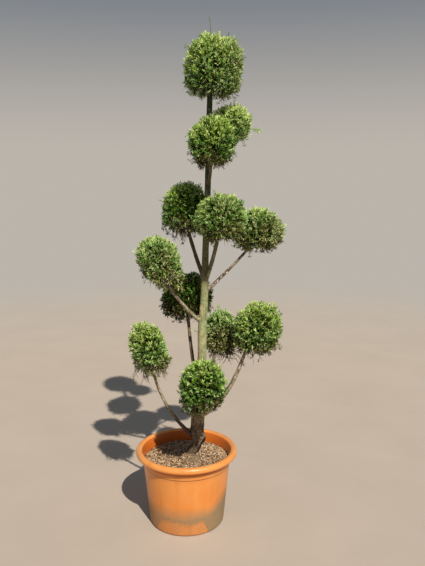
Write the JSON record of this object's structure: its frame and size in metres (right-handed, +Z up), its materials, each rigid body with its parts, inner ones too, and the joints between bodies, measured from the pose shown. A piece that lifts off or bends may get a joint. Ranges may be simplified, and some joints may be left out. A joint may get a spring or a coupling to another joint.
{
  "type": "pompon topiary conifer in a pot",
  "caption": "Cloud-pruned evergreen conifer with clipped foliage pompons on curved boughs up one leaning trunk, standing in a round terracotta-coloured plastic pot.",
  "frame": {"origin": "centre of the pot's flat underside, at floor level", "axes": "+Z up the plant, +X to the plant's right as its front is seen, -Y towards the viewer"},
  "size_m": [0.6544, 0.5871, 2.1763],
  "materials": {
    "pot": "moulded terracotta-coloured polypropylene with a soft sheen, scuffed, with a dried mud band near the foot",
    "potting_mix": "coarse bark and grit potting mix, matt",
    "bark": "fibrous conifer bark, flaking, with green algae on the middle of the trunk",
    "foliage": "flat sprays of small scale leaves, matt to slightly waxy green"
  },
  "bodies": {
    "root": {"pot": "pot", "potting_mix": "potting_mix", "trunk": "bark", "bough_low_left": "bark", "bough_low_right": "bark", "bough_low_front": "bark", "bough_low_back_right": "bark", "bough_mid_back_left": "bark", "bough_mid_left": "bark", "bough_up_right": "bark", "bough_up_front": "bark", "bough_up_back_left": "bark", "bough_high_front": "bark", "bough_high_back_right": "bark", "pompon_low_left": "foliage", "pompon_low_right": "foliage", "pompon_low_front": "foliage", "pompon_low_back_right": "foliage", "pompon_mid_back_left": "foliage", "pompon_mid_left": "foliage", "pompon_up_right": "foliage", "pompon_up_front": "foliage", "pompon_up_back_left": "foliage", "pompon_high_front": "foliage", "pompon_high_back_right": "foliage", "pompon_top": "foliage"}
  },
  "joints": []
}
